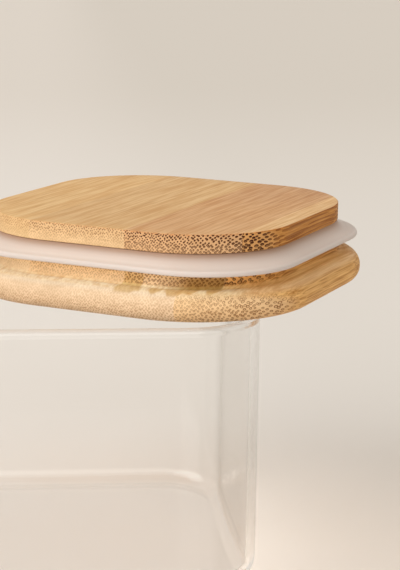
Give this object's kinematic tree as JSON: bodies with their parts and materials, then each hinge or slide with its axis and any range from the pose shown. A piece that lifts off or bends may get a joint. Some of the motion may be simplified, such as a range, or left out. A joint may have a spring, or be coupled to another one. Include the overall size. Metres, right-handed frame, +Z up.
{
  "type": "lidded glass bowl",
  "caption": "Low rounded-square glass bowl with a laminated bamboo lid and silicone gasket, the lid lying upside down and turned across the open rim.",
  "frame": {"origin": "centre of the bowl's flat underside, where it stands", "axes": "+X to the right along the bowl's front wall, +Y to the back, +Z up out of the bowl's mouth"},
  "size_m": [0.1195, 0.1067, 0.0886],
  "materials": {
    "clear_glass": "clear, smooth and fire-polished, with a full-round rim",
    "bamboo": "bare sanded laminated bamboo, satin",
    "silicone": "milky translucent silicone, satin"
  },
  "bodies": {
    "bowl": {"glass_bowl": "clear_glass"},
    "lid": {"plate_strip_1": "bamboo", "plate_strip_2": "bamboo", "plate_strip_3": "bamboo", "plate_strip_4": "bamboo", "neck_strip_1": "bamboo", "neck_strip_2": "bamboo", "neck_strip_3": "bamboo", "neck_strip_4": "bamboo", "crown_strip_1": "bamboo", "crown_strip_2": "bamboo", "crown_strip_3": "bamboo", "crown_strip_4": "bamboo", "silicone_gasket": "silicone"}
  },
  "joints": [
    {"name": "lid_lift", "type": "slide", "parent": "bowl", "child": "lid", "axis": [0, 0, 1], "range_m": [0, 0.08]}
  ]
}
